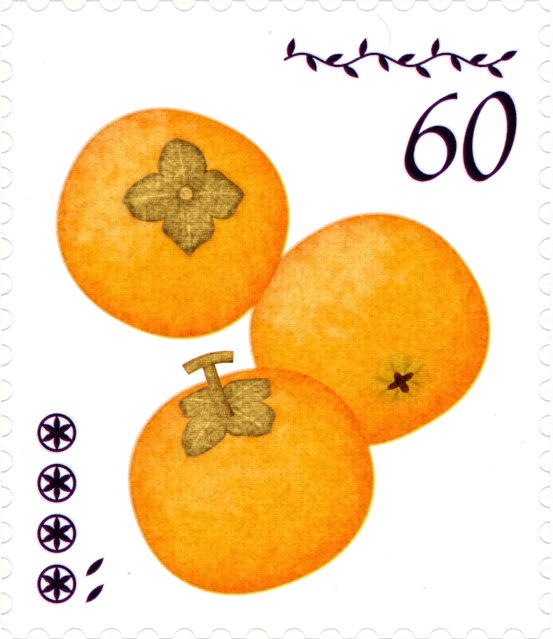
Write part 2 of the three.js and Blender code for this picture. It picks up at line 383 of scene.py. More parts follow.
def paper_finish():
    sheet = Finish("coated_paper", Roughness=0.6, Specular_IOR_Level=0.3)
    felt = sheet.noise(sheet.spot, 14.0, 4.0, 0.65)
    cloud = sheet.noise(sheet.spot, 0.5, 2.0)
    dust = sheet.ramp(sheet.noise(sheet.spot, DUST_A_MM, 1.0), DUST_FROM, DUST_FULL)
    off_speck = ((sheet.x - SPECK["x"]) / SPECK["wide"]) ** 2 + ((sheet.y - SPECK["y"]) / SPECK["high"]) ** 2
    speck = 1.0 - sheet.ramp(off_speck + felt * 0.7, 0.0, 1.1)
    tone = sheet.mix(sheet.held(felt * 0.12 + cloud * 0.1 + 0.1), WHITE, FELT_WHITE)
    tone = sheet.mix(sheet.most(dust * 0.5, speck), tone, DUST_GREY)
    tone = sheet.mix(stray_hair(sheet) * 0.8, tone, STRAY_GREY)
    return sheet.coat(tone, 0.6 + felt * 0.06, felt * 0.0006 + cloud * 0.0015)


def torn_finish():
    felt = Finish("bare_fibre", Specular_IOR_Level=0.2)
    lay = felt.noise(felt.vectors("MULTIPLY", felt.spot, LAYERS_A_MM), 1.0, 3.0, 0.7)
    # Painted shade: these greys are darker than bare paper fibre, so the hole walls and torn hairs look
    # shaded and the shadows beside them deepen.
    tone = felt.mix(felt.held(lay + 0.5), (0.58, 0.57, 0.54), (0.74, 0.73, 0.7))
    return felt.coat(tone, 0.9 + lay * 0.05, lay * 0.004)


def gum_finish():
    gum = Finish("dried_gum", Specular_IOR_Level=0.5, IOR=1.48)
    ripple = gum.noise(gum.spot, 0.9, 2.0, 0.4)
    crackle = gum.noise(gum.spot, 7.0, 3.0, 0.6)
    tone = gum.mix(gum.held(ripple * 0.5 + 0.5), (0.9, 0.885, 0.82), (0.945, 0.94, 0.9))
    return gum.coat(tone, gum.held(0.3 + crackle * 0.1), ripple * 0.004 + crackle * 0.0006)


PAPER, TORN, GUM = paper_finish(), torn_finish(), gum_finish()
print("finishes:", PAPER.name, TORN.name, GUM.name)

# %% [markdown]
# ## The punched and torn sheet
#
# A perforating machine drops rows of round pins through the printed sheet and its gum, and the stamp is torn
# out along them. The same two steps make the mesh: a slab with a slightly ragged edge, where the teeth tore,
# has a pin cut out of it at each hole.

# %% Punch and tear
PITCH_ACROSS, PITCHES_ACROSS = 1.546, 15
PITCH_DOWN, PITCHES_DOWN = 1.5, 18
HOLE_RADIUS = 0.49
PIN_SIDES, PIN_LENGTH = 72, 1.0
PIN_WEAR = 0.012  # mm that a hole's rim may wander
WEAR_A_MM = (3.0, 3.7)  # waves a mm of that wandering, to the right and up
TEAR = 0.022  # mm that a torn tooth's end may stand out or in
TEAR_A_MM = {"fine": 9.0, "coarse": 2.3}  # waves a mm of the torn edge
TEAR_STEP = 0.05  # mm between its points
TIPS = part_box("paper_sheet")[1] / MM  # where the teeth end, to the right and up


def punching_plan():
    plan = GrowingPlan("punch and tear", low=float, thickness=float, face=str, wall=str)
    width, height = PITCH_ACROSS * PITCHES_ACROSS, PITCH_DOWN * PITCHES_DOWN
    sockets = {"Width": 2 * TIPS.x, "Height": 2 * TIPS.y}
    edge = plan.node("GeometryNodeCurvePrimitiveQuadrilateral", None, sockets)
    edge = plan.geometry("ResampleCurve", {"mode": "LENGTH"}, curve=edge, length=TEAR_STEP)
    fine = plan.noise(plan.position(), TEAR_A_MM["fine"], 3.0, 0.7)
    coarse = plan.noise(plan.position(), TEAR_A_MM["coarse"], 0.0)
    out = (fine * 0.6 + coarse) * TEAR
    edge = plan.geometry("SetPosition", geometry=edge, offset=plan.vector(out, out * -0.8))
    face = plan.geometry("FillCurve", {"mode": "NGONS"}, curve=edge)
    slab = plan.slab(face, plan.given["low"], plan.given["thickness"])

    def row(count, x, y, step_x, step_y):
        sockets = {"Count": count, "Start Location": (x, y, 0.0), "Offset": (step_x, step_y, 0.0)}
        return plan.node("GeometryNodeMeshLine", {"mode": "OFFSET"}, sockets)

    rows = []
    for side in (-0.5, 0.5):
        rows.append(row(PITCHES_ACROSS + 1, -width / 2, side * height, PITCH_ACROSS, 0.0))
        rows.append(row(PITCHES_DOWN - 1, side * width, PITCH_DOWN - height / 2, 0.0, PITCH_DOWN))
    sockets = {"Vertices": PIN_SIDES, "Radius": HOLE_RADIUS, "Depth": PIN_LENGTH}
    pin = plan.node("GeometryNodeMeshCylinder", {"fill_type": "NGON"}, sockets)
    pins = plan.geometry("InstanceOnPoints", points=plan.join(*rows), instance=pin)
    pins = plan.geometry("RealizeInstances", geometry=pins)
    flat = plan.vector(plan.part(plan.position(), "X"), plan.part(plan.position(), "Y"))
    wear = [plan.noise(flat, waves, 2.0, 0.7) * PIN_WEAR for waves in WEAR_A_MM]
    pins = plan.geometry("SetPosition", geometry=pins, offset=plan.vector(*wear))
    plan.finish(plan.solid("DIFFERENCE", {"Mesh 1": slab, "Mesh 2": pins}), plan.given["wall"])
    return plan


def place(piece, slot, *stands_for):
    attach(piece, "root")
    if stands_for:
        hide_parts(*stands_for)


# %% Paper and gum, punched
PUNCH = punching_plan()


def punched_layer(name, slot, node, face, wall):
    low, high = (corner.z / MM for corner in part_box(node))
    piece = grow(name, PUNCH, {"low": low, "thickness": high - low, "face": face, "wall": wall})
    unfold(piece)
    place(piece, slot, node)
    return piece


gum = punched_layer("stamp_gum", "gum", "gum_film", GUM, GUM)
paper = punched_layer("stamp_paper", "paper", "paper_sheet", PAPER, TORN)

# %% [markdown]
# ## Torn fibres
#
# Paper is a felt of wood fibres, so a torn tooth ends in fine hairs and not in a clean cut. One bent hair is
# made first, as a thin three-sided tube that tapers. Copies of it are scattered over the torn ends with a
# fixed seed, each with its own length and turn. The punched sides of the holes stay clean.

# %% Fibres on the teeth
FIBRES_A_SQUARE_MM = 190.0
FIBRE_SEED = 7
FIBRE_LENGTH = (0.02, 0.085)  # mm, shortest and longest
TIP_DEPTH = 0.05  # mm behind the ends of the teeth in which hairs grow
PRESSED_BELOW = 0.012  # mm above the table, under which hairs are pressed flat
PRESSED_BY = 0.84
FIBRE_BEND = {"Resolution": 4, "Start": (0, 0, -0.15), "Middle": (0.22, 0, 0.45), "End": (0.05, 0.25, 1)}
FIBRE_PROFILE = {"Resolution": 3, "Radius": 0.055}
FIBRE_TAPER = 0.75  # how much of its thickness its tip has lost
FIBRE_TURNS = (0.9, 0.9, 3.1)  # radians that a copy may turn about each axis, either way


def fibre_plan():
    plan = GrowingPlan("tear fibres", face=str)
    hair = plan.node("GeometryNodeCurveQuadraticBezier", None, FIBRE_BEND)
    profile = plan.node("GeometryNodeCurvePrimitiveCircle", None, FIBRE_PROFILE)
    taper = 1.0 - plan.node("GeometryNodeSplineParameter") * FIBRE_TAPER
    hair = plan.geometry("SetCurveRadius", curve=hair, radius=taper)
    hair = plan.geometry("CurveToMesh", curve=hair, profile_curve=profile, scale=taper, fill_caps=True)
    wide = plan.moved(plan.given["mesh"], scale=(1 / MM,) * 3)
    at = plan.position()
    reach = plan.most(abs(plan.part(at, "X")) - TIPS.x, abs(plan.part(at, "Y")) - TIPS.y)
    on_tip = plan.maths("GREATER_THAN", reach, -TIP_DEPTH) * plan.walls()
    scatter = {"Mesh": wide, "Selection": on_tip, "Density": FIBRES_A_SQUARE_MM, "Seed": FIBRE_SEED}
    spots = plan.node("GeometryNodeDistributePointsOnFaces", {"distribute_method": "RANDOM"}, scatter)
    turn = plan.vector(*[plan.random(-most, most, seed) for seed, most in enumerate(FIBRE_TURNS, 1)])
    stand = {"Rotation": spots.out("Rotation"), "Rotate By": turn}
    stand = plan.node("FunctionNodeRotateRotation", {"rotation_space": "LOCAL"}, stand)
    size = plan.random(*FIBRE_LENGTH, 4)
    hairs = plan.geometry("InstanceOnPoints", points=spots, instance=hair, rotation=stand, scale=size)
    hairs = plan.geometry("RealizeInstances", geometry=hairs)
    under = plan.most(PRESSED_BELOW - plan.part(plan.position(), "Z"), 0.0)
    hairs = plan.geometry("SetPosition", geometry=hairs, offset=plan.vector(z=under * PRESSED_BY))
    plan.finish(hairs)
    return plan


fibres = grow("tooth_fibres", fibre_plan(), {"face": TORN}, paper.data.copy())
place(fibres, "paper")

# %% [markdown]
# ## Films of ink
#
# A printed film has the outline of its motif in the model, but ink creeps along the fibres, so its edge isn't
# quite smooth. The tree takes the motif's upper face, walks round its edge in short steps, shifts each step
# by a little noise, and fills the outline again. The value and the ornaments are printed with several plates
# that never meet exactly, and two more trees cut such films. One keeps the side that a moved copy leaves
# bare, and the other keeps what several copies all cover, which is the middle of broad strokes and nothing of
# thin ones.

# %% The outline of a film
INK_LOW, INK_HIGH = (corner.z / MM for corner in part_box("front_fruit_ink"))


def film(plan, shift):
    """The slab of ink whose outline is the given mesh's, moved by shift."""
    wide = plan.moved(plan.given["mesh"], scale=(1 / MM,) * 3)
    whole = plan.geometry("MergeByDistance", geometry=wide, distance=SAME_POINT)
    below = plan.maths("LESS_THAN", plan.upward(), UPRIGHT)
    top = plan.geometry("DeleteGeometry", {"mode": "ALL", "domain": "FACE"}, geometry=whole, selection=below)
    faces = plan.node("GeometryNodeInputMeshEdgeNeighbors")
    rim = plan.maths("LESS_THAN", faces, 1.5)  # only edges with one face
    line = plan.geometry("MeshToCurve", mesh=top, selection=rim)
    line = plan.geometry("ResampleCurve", {"mode": "LENGTH"}, curve=line, length=plan.given["step"])
    uneven = {"Vector": plan.position(), "Scale": plan.given["waves a mm"], "Detail": 2.0, "Roughness": 0.6}
    uneven = plan.node("ShaderNodeTexNoise", None, uneven, "Color")
    uneven = plan.vectors("SUBTRACT", uneven, (0.5, 0.5, 0.5))
    ragged = plan.vector(plan.given["ragged"], plan.given["ragged"])
    offset = plan.vectors("MULTIPLY_ADD", uneven, ragged, shift)
    line = plan.geometry("SetPosition", geometry=line, offset=offset)
    face = plan.geometry("FillCurve", {"mode": "TRIANGLES"}, curve=line)
    return plan.slab(face, INK_LOW, plan.given["thickness"])


# %% Three ways to print one
FILM_INPUTS = {"thickness": float, "step": float, "ragged": float, "waves a mm": float, "shift": tuple}


def whole_plan():
    plan = GrowingPlan("print a film", **FILM_INPUTS, face=str)
    plan.finish(film(plan, plan.given["shift"]))
    return plan


def side_plan():
    """The side of a film that a copy of it, moved by shift, leaves bare."""
    plan = GrowingPlan("print one side of a film", **FILM_INPUTS, face=str)
    copies = {"Mesh 1": film(plan, plan.vector()), "Mesh 2": film(plan, plan.given["shift"])}
    plan.finish(plan.solid("DIFFERENCE", copies))
    return plan


def middle_plan():
    """What all copies of a film cover, when two are moved by shift and two by inset, both ways."""
    plan = GrowingPlan("print the middle of a film", **FILM_INPUTS, inset=tuple, face=str)
    moves = [plan.scaled(plan.given[by], way) for by in ("shift", "inset") for way in (1.0, -1.0)]
    copies = [film(plan, move) for move in moves]
    plan.finish(plan.solid("INTERSECT", {"Mesh 2": copies}))
    return plan


WHOLE, SIDE, MIDDLE = whole_plan(), side_plan(), middle_plan()
print("trees:", WHOLE.tree.name, "-", SIDE.tree.name, "-", MIDDLE.tree.name)


# %% Print a film
def joined(name, pieces):
    """One piece made of several that don't touch."""
    whole = bmesh.new()
    for piece in pieces:
        whole.from_mesh(piece.data)
    first, *others = pieces
    whole.to_mesh(first.data)
    whole.free()
    for other in others:
        bpy.data.objects.remove(other)
    first.name = name
    return first


PICTURE_EDGE = {"step": 0.035, "ragged": 0.05, "waves a mm": 9.0}
LINE_EDGE = {"step": 0.03, "ragged": 0.022, "waves a mm": 9.0}
MIDDLE_INSET = (0.056, -0.056, 0.0)  # mm that a middle draws back at its upper left and its lower right


def print_film(name, sources, slot, finish, edge, plan=WHOLE, shift=(0.0, 0.0), thickness=INK_HIGH - INK_LOW):
    """Prints these nodes as one piece, moved by shift to the right and up."""
    sizes = {**edge, "thickness": thickness, "shift": (*shift, 0.0), "inset": MIDDLE_INSET, "face": finish}
    piece = joined(name, [grow(name, plan, sizes, nodes[source].data.copy()) for source in sources])
    unfold(piece)
    place(piece, slot)
    return piece


# %% [markdown]
# ## Four printing plates
#
# The picture is printed with yellow, magenta, cyan and black ink, one plate after another. An ink is clear,
# so it holds back some of the light from the paper, and where two inks lie on each other their colours
# multiply. How much of the paper an ink covers at a spot is its plate's coverage, from 0 to 1, and a finish
# below is a set of four coverages. Seen closely each plate is a grid of dots, so its coverage rises on the
# dots and falls between them. The paper's tooth takes more ink here and less there, but the same from every
# plate, so the grain lightens and darkens more than it changes hue.

# %% Plates
INKS = {
    "yellow": (1.0, 0.8, 0.0),
    "magenta": (1.0, 0.03, 0.2),
    "cyan": (0.0, 0.45, 0.75),
    "black": (0.03, 0.025, 0.03),
}
ROW_PITCH, COLUMN_PITCH = 0.0955, 0.0923  # mm between the rows of dots, and between their columns
SLANT_PITCH, SLANT = 0.0892, math.radians(-19)  # mm between the slanting lines of dots, and their slant
RING_PITCH = 0.271  # mm between the rings in which the dots of the plates fall together
DOT_DEPTH = {"yellow": 0.006, "magenta": 0.024, "cyan": 0.03, "black": 0.022}
GRAIN_DEPTH = {"yellow": 0.03, "magenta": 0.12, "cyan": 0.1, "black": 0.22}
GRAINS_A_MM = 5.2
PATCHES_A_MM = 1.9  # of the patches in which the rows or the columns show
EVEN_ROWS = 0.2  # how strongly the rows show outside their patches
SLANTED, RINGED = 0.9, 0.22  # how strong the slanting lines and the rings are
print("inks:", ", ".join(INKS))


# %% A finish from four plates
class PrintedFinish(Finish):
    """A finish of matt ink that is given as the coverages of the plates."""

    def __init__(self, name):
        super().__init__(name, Roughness=0.55, Specular_IOR_Level=0.01)

    def dots(self):
        """How far above or below its coverage a plate prints. Rows and columns show in patches."""
        def wave(along, pitch):
            return self.cos(along * (2 * math.pi / pitch))

        def patch(x, y, low):
            return self.ramp(self.noise(self.moved_spot(x, y), PATCHES_A_MM, 1.0), low, low + 0.5)

        rows = wave(self.y, ROW_PITCH) * (patch(0.0, 0.0, -0.25) + EVEN_ROWS)
        slanted = wave(self.x * math.cos(SLANT) + self.y * math.sin(SLANT), SLANT_PITCH)
        columns = (wave(self.x, COLUMN_PITCH) + slanted * SLANTED) * patch(9.0, 4.0, -0.1)
        rings = (wave(self.y, RING_PITCH) + wave(self.x, RING_PITCH)) * RINGED
        return rows + columns + rings

    def inked(self, yellow, magenta, cyan, black, grain=1.0):
        """The material that these coverages give."""
        plates = {"yellow": yellow, "magenta": magenta, "cyan": cyan, "black": black}
        dots = self.dots() * grain
        tooth = self.noise(self.spot, GRAINS_A_MM, 2.0, 0.9) * grain
        colour = WHITE
        for ink, coverage in plates.items():
            taken = coverage + dots * DOT_DEPTH[ink] + tooth * GRAIN_DEPTH[ink]
            colour = self.mix(self.held(taken), colour, INKS[ink], "MULTIPLY")
        return self.coat(colour)


# %% [markdown]
# ## Three round fruit
#
# The picture shows three persimmons. Its shading is worked out and not drawn: each spot of the sheet shows a
# spot on a flattened ball that leans away from the eye, so the ball's own geometry gives which way the skin
# faces there and how far it is from the stalk. The light falls in from the upper left, and the skin deepens
# to red orange where it turns away.

# %% The ball behind the picture
HALF_WIDTH, HALF_HEIGHT = 5.0, 4.1  # mm across and along the core of a fruit of size 1
SQUARENESS = 2.22
HOLLOW, HOLLOW_SPREAD = 0.045, 0.3  # how far the outline dips at the stalk, and over which angle
CALYX_RADIUS, CALYX_WAIST = 2.75, 0.46
STEM_RADIUS, TIP_RADIUS = 0.4, 0.46
# From the rearmost to the foremost. lean is the sine of the angle between a core and the eye, facing is the
# way that it points on the sheet and turn the calyx's own turn, in radians, and bloom is how pale the lit
# side is. The fruit with no turn shows its dry tip.
FRUITS = {
    "right": {"x": 3.95, "y": -0.45, "size": 1.01, "lean": 0.62, "facing": -1.02, "bloom": 1.0},
    "left": {"x": -4.35, "y": 4.1, "size": 0.97, "lean": 0.34, "facing": 1.15, "turn": 0.5, "bloom": 0.8},
    "front": {"x": -1.05, "y": -6.8, "size": 1.04, "lean": 0.78, "facing": 1.92, "turn": 0.62, "bloom": 0.35},
}
LIGHT = (-0.42, 0.5, 0.76)  # towards the lamp in the picture: right, up, out
print("fruit across, in mm:", [round(2 * HALF_WIDTH * fruit["size"], 2) for fruit in FRUITS.values()])


def along_and_across(angle, right, up):
    """How much of a direction points along the one at this angle, and how much across it."""
    return right * math.cos(angle) + up * math.sin(angle), up * math.cos(angle) - right * math.sin(angle)


class Outline:
    """Where each spot of the sheet lies on the plan of a fruit."""

    def __init__(self, finish, fruit):
        self.finish, self.fruit = finish, fruit
        self.girth, self.height = HALF_WIDTH * fruit["size"], HALF_HEIGHT * fruit["size"]
        self.lean, self.level = fruit["lean"], math.sqrt(1 - fruit["lean"] ** 2)
        self.reach = math.hypot(self.girth * self.level, self.height * self.lean)
        right, up = finish.x - fruit["x"], finish.y - fruit["y"]
        self.along, self.across = along_and_across(fruit["facing"], right, up)

    def share(self):
        """0 in the middle of the fruit and 1 on its outline."""
        angle = self.finish.maths("ARCTAN2", self.across, self.along)
        hollow = self.finish.hill(angle, HOLLOW_SPREAD) * (HOLLOW * self.lean**4)
        uneven = self.finish.cos(angle * 3.0 + self.fruit["x"]) * 0.007
        uneven = uneven + self.finish.cos(angle * 2.0 + self.fruit["y"]) * 0.006
        along, across = abs(self.along / self.reach), abs(self.across / self.girth)
        return (along**SQUARENESS + across**SQUARENESS) ** (1 / SQUARENESS) / (uneven - hollow + 1.0)


# %% The skin that the eye sees
class Skin(Outline):
    """The spot of a fruit's skin that shows at each spot of the sheet."""

    def __init__(self, finish, fruit, squared=True):
        super().__init__(finish, fruit)
        lean, level = self.lean, self.level
        if squared:
            ellipse = finish.root((self.along / self.reach) ** 2 + (self.across / self.girth) ** 2)
            self.edge = self.share()
            fit = finish.least(self.edge, 0.995) / finish.most(ellipse, 0.001)
            self.along, self.across = self.along * fit, self.across * fit
        along, across = self.along, self.across
        # The line of sight meets the ball where a * toward**2 + b * toward + c is 0.
        a = (lean / self.girth) ** 2 + (level / self.height) ** 2
        b = along * (2 * level * lean * (self.height**-2 - self.girth**-2))
        c = along**2 * ((level / self.girth) ** 2 + (lean / self.height) ** 2)
        c = c + (across / self.girth) ** 2 - 1.0
        toward = (finish.root(b * b - c * (4 * a)) - b) / (2 * a)
        self.out = along * level - toward * lean
        self.up = along * lean + toward * level
        from_core = finish.root(self.out**2 + across**2)
        self.far = finish.maths("ARCTAN2", from_core / self.girth, self.up / self.height) * self.girth
        self.around = finish.maths("ARCTAN2", across, self.out)
        out, side, up = self.out * self.girth**-2, across * self.girth**-2, self.up * self.height**-2
        size = finish.root(out**2 + side**2 + up**2)
        self.normal = ((out * level + up * lean) / size, side / size, (up * level - out * lean) / size)

    def lit(self, right, up, out):
        """How squarely the skin faces a light that comes from there."""
        along, across = along_and_across(self.fruit["facing"], right, up)
        size = math.hypot(right, up, out)
        return (self.normal[0] * along + self.normal[1] * across + self.normal[2] * out) / size

    def calyx_share(self, turn):
        """1 on the edge of the calyx, less inside it and more outside."""
        finish = self.finish
        twice = (self.around - turn) * 2.0
        blade = abs(finish.cos(twice)) ** 0.5
        point = (1.0 - abs(finish.sin(twice))) ** 2
        uneven = finish.sin(self.around * 3.0 + turn) * 0.05 + finish.sin(self.around * 11.0) * 0.025 + 1.0
        reach = (blade * 0.72 + point * 0.28) * (1 - CALYX_WAIST) + CALYX_WAIST
        return self.far / (reach * uneven * CALYX_RADIUS)


# %% [markdown]
# ## The skin of the fruit
#
# A ripe skin is never one orange. It has pale, pinkish clouds where the light falls, faint streaks that run
# from the stalk to the tip, a grain like an orange's, and dark pores where it turns away. It is dark in a
# narrow line round a calyx, and olive and creased round the dry tip. The yellow plate is nearly full all
# over, and the magenta plate does the modelling. Where a fruit lies against bare paper it has a thin dark
# line just inside its rim, and then each plate's dots grow small and stop. The yellow plate runs out a little
# later at the lower right and the magenta one at the upper left, because the plates don't quite meet.

# %% What the skin gives each plate
# A plate's coverage all over, and what each feature of the skin adds to it.
SKIN_PLATES = {
    "yellow": {"all over": 0.999, "cloud": -0.1, "thin": -0.016},
    "magenta": {
        "all over": 0.47, "shade": 0.08, "rim": 0.17, "low side": 0.06, "laid over": 0.09,
        "tint": 0.165, "pale": -0.12, "pores": 0.1, "rind": 0.05, "streak": 0.06,
        "cast": 0.2, "seam": 0.12, "halo": -0.1, "crease": 0.12,
    },
    "cyan": {"all over": 0.0, "halo": 0.24},
    "black": {
        "all over": 0.098, "specks": 0.14, "pores": 0.13, "stipple": 0.14, "line": 0.17,
        "cast": 0.25, "seam": 0.3, "halo": 0.1, "crease": 0.3,
    },
}
# Where a plate's dots begin to shrink and where they stop, with 1 on the outline, and how much sooner this
# comes at the lower right.
PLATE_ENDS = {"magenta": (0.966, 1.018), "yellow": (0.974, 1.04), "black": (0.985, 1.005)}
PLATE_OFF = {"magenta": 0.003, "yellow": -0.006, "black": 0.0}


def weighed(weights, fields):
    """The sum of the fields that are there, each times its own weight."""
    total = weights["all over"]
    for name, weight in weights.items():
        if name in fields:
            total = fields[name] * weight + total
    return total


def bare_beside(finish, motif):
    """1 where nothing but paper can lie beside a fruit, and 0 where another fruit lies behind it."""
    bare = 1.0
    for other in list(FRUITS)[: list(FRUITS).index(motif)]:
        bare = finish.ramp(Outline(finish, FRUITS[other]).share(), 0.99, 1.02) * bare
    return bare


# %% Skin finish
def beside_calyx(press, shown, turn, rind, lit):
    """The shadow that a calyx casts on the skin, and the dark line that it lies in."""
    share = shown.calyx_share(turn) + rind * 0.03
    shadow = (1.0 - press.ramp(share, 1.0, 1.22)) * press.held(0.55 - lit * 0.25)
    return {"cast": shadow, "seam": 1.0 - press.ramp(share, 1.0, 1.05)}


def round_tip(press, shown, rind, mottle):
    """The olive halo round a dry tip, and the creases that run to it."""
    halo = 1.0 - press.ramp(shown.far + mottle * 0.3, 0.35, 1.9)
    wavy = shown.around * 4.0 + press.noise(press.spot, 1.6) * 1.4
    crease = abs(press.cos(wavy)) ** 9.0 * press.ramp(shown.far, 0.3, 0.5)
    return {"halo": halo, "crease": crease * (1.0 - press.ramp(shown.far + rind * 0.3, 0.6, 1.45))}


def skin_finish(motif, seed):
    """One fruit's skin. seed moves its clouds, so that no two fruit are alike."""
    fruit = FRUITS[motif]
    press = PrintedFinish(motif + "_skin")
    skin, shown = Skin(press, fruit), Skin(press, fruit, squared=False)
    ramp, held = press.ramp, press.held
    lit = skin.lit(*LIGHT)
    glow = held(lit)
    turned = held(1.0 - skin.normal[2])
    low_side = held(skin.lit(0.5, -0.8, 0.1))
    seeded = press.moved_spot(seed, seed * 0.7)
    clouds = press.noise(seeded, 0.42, 2.0, 0.55)
    mottle = press.noise(seeded, 1.2, 2.0, 0.6)
    patches = press.noise(press.moved_spot(-seed, seed), 1.8, 1.0, 0.5)
    rind = press.noise(seeded, 4.5, 2.0, 0.6)
    along_skin = press.vector(press.cos(skin.around) * 7.0, press.sin(skin.around) * 7.0, skin.far * 0.35)
    tint = clouds * 0.4 + mottle * 0.5 + patches * 0.35
    pale = ramp(glow - tint * 0.5, 0.68, 1.05) * fruit["bloom"]
    rim = ramp(turned + mottle * 0.12, 0.14, 0.68)
    dark_side = turned + mottle * 0.3
    bare = bare_beside(press, motif)
    features = {
        "cloud": pale * (1.0 - tint),
        "thin": ramp(-tint, -0.1, 0.6) * (1.0 - rim),
        "shade": 1.0 - glow,
        "rim": rim,
        "low side": low_side,
        "pale": pale,
        "tint": tint,
        "rind": rind,
        "streak": press.noise(along_skin, 1.0, 2.0, 0.6),
        "specks": ramp(press.noise(seeded, 2.3, 0.0), 0.62, 0.72),
        "pores": ramp(press.noise(seeded, 6.5, 0.0), 0.36, 0.66) * ramp(dark_side, 0.15, 0.75),
        "stipple": ramp(rind, 0.05, 0.5) * ramp(dark_side, 0.35, 0.9) * low_side,
        "line": press.hill(skin.edge - 0.977, 0.01) * (bare * 0.5 + 0.5),
        "laid over": ramp(skin.edge, 0.86, 0.99) * (1.0 - bare) * (1.0 - low_side),
    }
    if "turn" in fruit:
        features.update(beside_calyx(press, shown, fruit["turn"], rind, lit))
    else:
        features.update(round_tip(press, shown, rind, mottle))
    plates = {ink: weighed(weights, features) for ink, weights in SKIN_PLATES.items()}
    lower_right = skin.lit(0.7, -0.7, 0.0)
    for ink, ends in PLATE_ENDS.items():
        ended = ramp(skin.edge + lower_right * PLATE_OFF[ink], *ends)
        plates[ink] = plates[ink] * (1.0 - ended * bare)
    return press.inked(**plates)


# %% [markdown]
# ## Calyx, stalk and tip
#
# The four sepals are dry leaves, khaki in the middle and brown at their curled edges, with a midrib and side
# veins. The stalk and its piece of branch are bark, with fine streaks along them, and the stalk's cut end
# shows pale wood in a dark ring. One scale from dark to light mixes them all.

# %% Dry leaf and wood
DRY_PLATES = {
    "yellow": {"all over": 0.985, "light": -0.12, "missed": 0.07},
    "magenta": {"all over": 0.66, "light": -0.33, "green": -0.08},
    "cyan": {"all over": 0.4, "light": -0.3, "green": 0.08},
    "black": {"all over": 0.78, "light": -0.64},
}
DRY_GRAIN = 1.9  # times that of a skin


def dry_material(finish, light, **others):
    """A dry brown that is lighter where light is more."""
    fields = {"light": finish.held(light), "missed": finish.noise(finish.spot, 6.5, 2.0, 0.9), **others}
    plates = {ink: weighed(weights, fields) for ink, weights in DRY_PLATES.items()}
    return finish.inked(**plates, grain=DRY_GRAIN)


# %% Calyx
SEPAL_LIGHT = {
    "all over": 0.335, "lit": 0.35, "rib": 0.3, "veins": 0.13, "edge": -0.42, "hollow": -0.25, "off rib": 0.1,
    "blotch": 0.3, "crumple": 0.4,
}


def calyx_finish(motif):
    leaf = PrintedFinish(motif + "_sepals")
    skin, turn = Skin(leaf, FRUITS[motif], squared=False), FRUITS[motif]["turn"]
    share = skin.calyx_share(turn)
    off_rib = leaf.sin((skin.around - turn) * 2.0)
    rib = leaf.hill(off_rib * skin.far, 0.11) * leaf.ramp(skin.far, 0.35, 0.7)
    veins = leaf.sin((skin.far - abs(off_rib) * skin.far * 0.8) * 15.0 + leaf.noise(leaf.spot, 1.4) * 1.5)
    veins = leaf.ramp(veins, 0.45, 1.0) * leaf.held(abs(off_rib) * 2.0)
    blotch = leaf.noise(leaf.spot, 1.5, 3.0, 0.65)
    features = {
        "lit": skin.lit(*LIGHT),
        "rib": rib * (1.0 - leaf.ramp(share, 0.75, 0.98)),
        "veins": veins * (1.0 - leaf.ramp(share, 0.7, 0.95)),
        "edge": leaf.ramp(share + leaf.noise(leaf.spot, 2.6) * 0.08, 0.78, 1.03),
        "hollow": 1.0 - leaf.ramp(skin.far, 0.42, 1.0),
        "off rib": off_rib,
        "blotch": blotch,
        "crumple": leaf.noise(leaf.spot, 5.0, 3.0, 0.7),
    }
    return dry_material(leaf, weighed(SEPAL_LIGHT, features), green=leaf.held(blotch + 0.4))


# %% Stalk end and tip
def stem_end_finish(motif):
    end = PrintedFinish(motif + "_stalk_end")
    skin = Skin(end, FRUITS[motif], squared=False)
    share = skin.far / STEM_RADIUS
    rings = end.sin(share * 15.0) * 0.1
    light = 0.88 + rings - end.ramp(share, 0.5, 1.0) * 0.75 + end.noise(end.spot, 6.0, 2.0) * 0.3
    return dry_material(end, light)


def tip_finish(motif):
    tip = PrintedFinish(motif + "_dry_tip")
    skin = Skin(tip, FRUITS[motif], squared=False)
    crumb = tip.noise(tip.spot, 7.0, 2.0, 0.6)
    edge = tip.ramp(skin.far / TIP_RADIUS, 0.5, 1.6)
    return tip.inked(1.0, 0.95, 0.5 - edge * 0.2, 0.93 - edge * 0.25 + crumb * 0.25)


# %% Twig
TWIG = {"width": 0.54, "length": 2.05, "bar_width": 0.5, "bar_reach": 1.1, "bar_bow": 0.22}  # mm
BARK_LIGHT = {"all over": 0.06, "shade": 0.62, "streak": 0.5, "bumps": 0.25}


def twig_finish(motif):
    """Bark on a stalk with a piece of branch across its end, both shaded as round rods."""
    fruit, bark = FRUITS[motif], PrintedFinish(motif + "_bark")
    skin = Skin(bark, fruit, squared=False)
    lit_along, lit_across = along_and_across(fruit["facing"], *LIGHT[:2])
    bow = TWIG["bar_bow"]

    def rod(off_middle, width, toward):
        side = bark.held(off_middle / (width / 2), -1.0, 1.0)
        return side * toward + bark.root(1.0 - side**2.0) * LIGHT[2]

    past = (skin.across + TWIG["bar_reach"]) / (2 * TWIG["bar_reach"])  # from 0 to 1 along the bar
    end_of_stalk = HALF_HEIGHT * fruit["size"] * fruit["lean"] + TWIG["length"]
    off_bar = skin.along - end_of_stalk + bow - past * (1.0 - past) * (3.2 * bow)
    on_bar = bark.ramp(off_bar, -TWIG["bar_width"] / 2, 0.1 - TWIG["bar_width"] / 2)
    along_stalk = bark.vector(skin.along * 1.1, skin.across * 7.0)
    along_bar = bark.vector(off_bar * 7.0, skin.across * 1.1)
    stalk_streak, bar_streak = (bark.noise(grain, 1.0, 3.0, 0.7) for grain in (along_stalk, along_bar))
    stalk_shade = rod(skin.across - 0.05, TWIG["width"], lit_across)
    bar_shade = rod(off_bar, TWIG["bar_width"], lit_along)
    features = {
        "shade": stalk_shade * (1.0 - on_bar) + bar_shade * on_bar,
        "streak": stalk_streak * (1.0 - on_bar) + bar_streak * on_bar,
        "bumps": bark.noise(bark.spot, 4.0, 2.0, 0.6),
    }
    return dry_material(bark, weighed(BARK_LIGHT, features))


# %% [markdown]
# ## Line inks
#
# The value and the ornaments are solid line work in a deep purple. A magenta and a blue plate add to it:
# where both lie on the purple it is nearly black, along the lower left of a stroke the magenta one makes it
# maroon, and along the upper right the blue one makes it navy. Ink takes unevenly, so each finish goes from a
# darker to a lighter tone.

